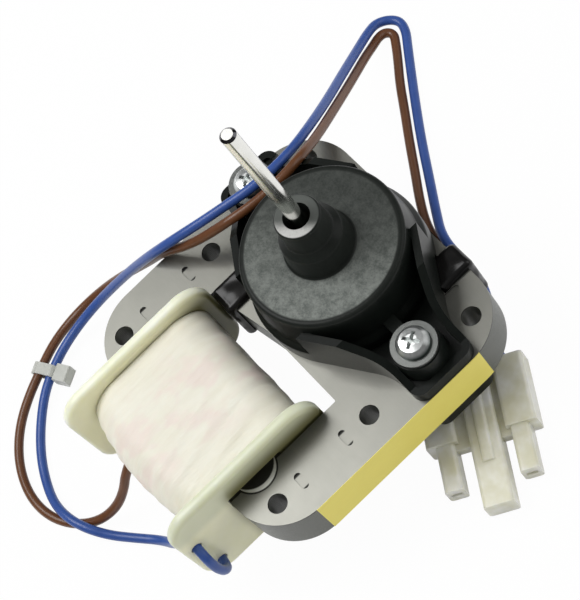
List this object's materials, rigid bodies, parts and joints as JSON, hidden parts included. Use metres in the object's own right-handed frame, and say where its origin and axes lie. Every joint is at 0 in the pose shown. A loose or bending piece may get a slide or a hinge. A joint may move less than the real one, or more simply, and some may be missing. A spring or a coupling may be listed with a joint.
{
  "type": "shaded-pole fan motor",
  "caption": "Small shaded-pole fan motor with a C-shaped lamination stack, taped coil, black bearing shields, long shaft, and two leads with a plug-in connector.",
  "frame": {"origin": "where the shaft axis meets the rear shield's flat back face", "axes": "+Z along the shaft to its free end, +X across the stack towards the labelled edge, -Y from the shaft towards the coil"},
  "size_m": [0.1019, 0.125, 0.0851],
  "materials": {
    "lamination_steel": "matt phosphate-grey sheet steel",
    "nylon_cream": "translucent cream nylon",
    "copper_wire": "enamelled copper wire",
    "tape_white": "off-white wrapping tape",
    "moulding_black": "black glass-filled plastic, satin",
    "sintered_bronze": "oiled sintered bronze",
    "felt_grey": "oiled felt",
    "sheet_steel": "bright sheet steel",
    "cast_aluminium": "die-cast aluminium",
    "ground_steel": "ground and polished steel",
    "nylon_white": "natural nylon",
    "copper_black": "copper with glossy black coating",
    "zinc_steel": "bright zinc-plated steel",
    "label_yellow": "yellow label, bare",
    "insulation_blue": "blue insulation",
    "insulation_brown": "brown insulation",
    "nylon_clear": "translucent white nylon",
    "tinned_brass": "tinned brass"
  },
  "bodies": {
    "frame": {"stator_stack": "lamination_steel", "core_bar": "lamination_steel", "bobbin": "nylon_cream", "coil_winding": "copper_wire", "coil_tape": "tape_white", "front_shield": "moulding_black", "rear_shield": "moulding_black", "front_bearing": "sintered_bronze", "rear_bearing": "sintered_bronze", "front_oil_felt": "felt_grey", "rear_oil_felt": "felt_grey", "front_bearing_retainer": "sheet_steel", "rear_bearing_retainer": "sheet_steel", "upper_shading_ring": "copper_black", "lower_shading_ring": "copper_black", "shield_screws": "zinc_steel", "screw_washers": "zinc_steel", "edge_label": "label_yellow", "blue_lead": "insulation_blue", "brown_lead": "insulation_brown", "cable_tie": "nylon_white", "connector_housing": "nylon_clear", "connector_terminals": "tinned_brass"},
    "rotor": {"shaft": "ground_steel", "rotor_core": "lamination_steel", "rotor_cage": "cast_aluminium", "front_spacer": "moulding_black", "rear_spacer": "moulding_black", "front_thrust_washer": "nylon_white", "rear_thrust_washer": "nylon_white"}
  },
  "joints": [
    {"name": "shaft_spin", "type": "hinge", "parent": "frame", "child": "rotor", "pos_m": [0, 0, 0.0235], "axis": [0, 0, 1], "continuous": true}
  ]
}
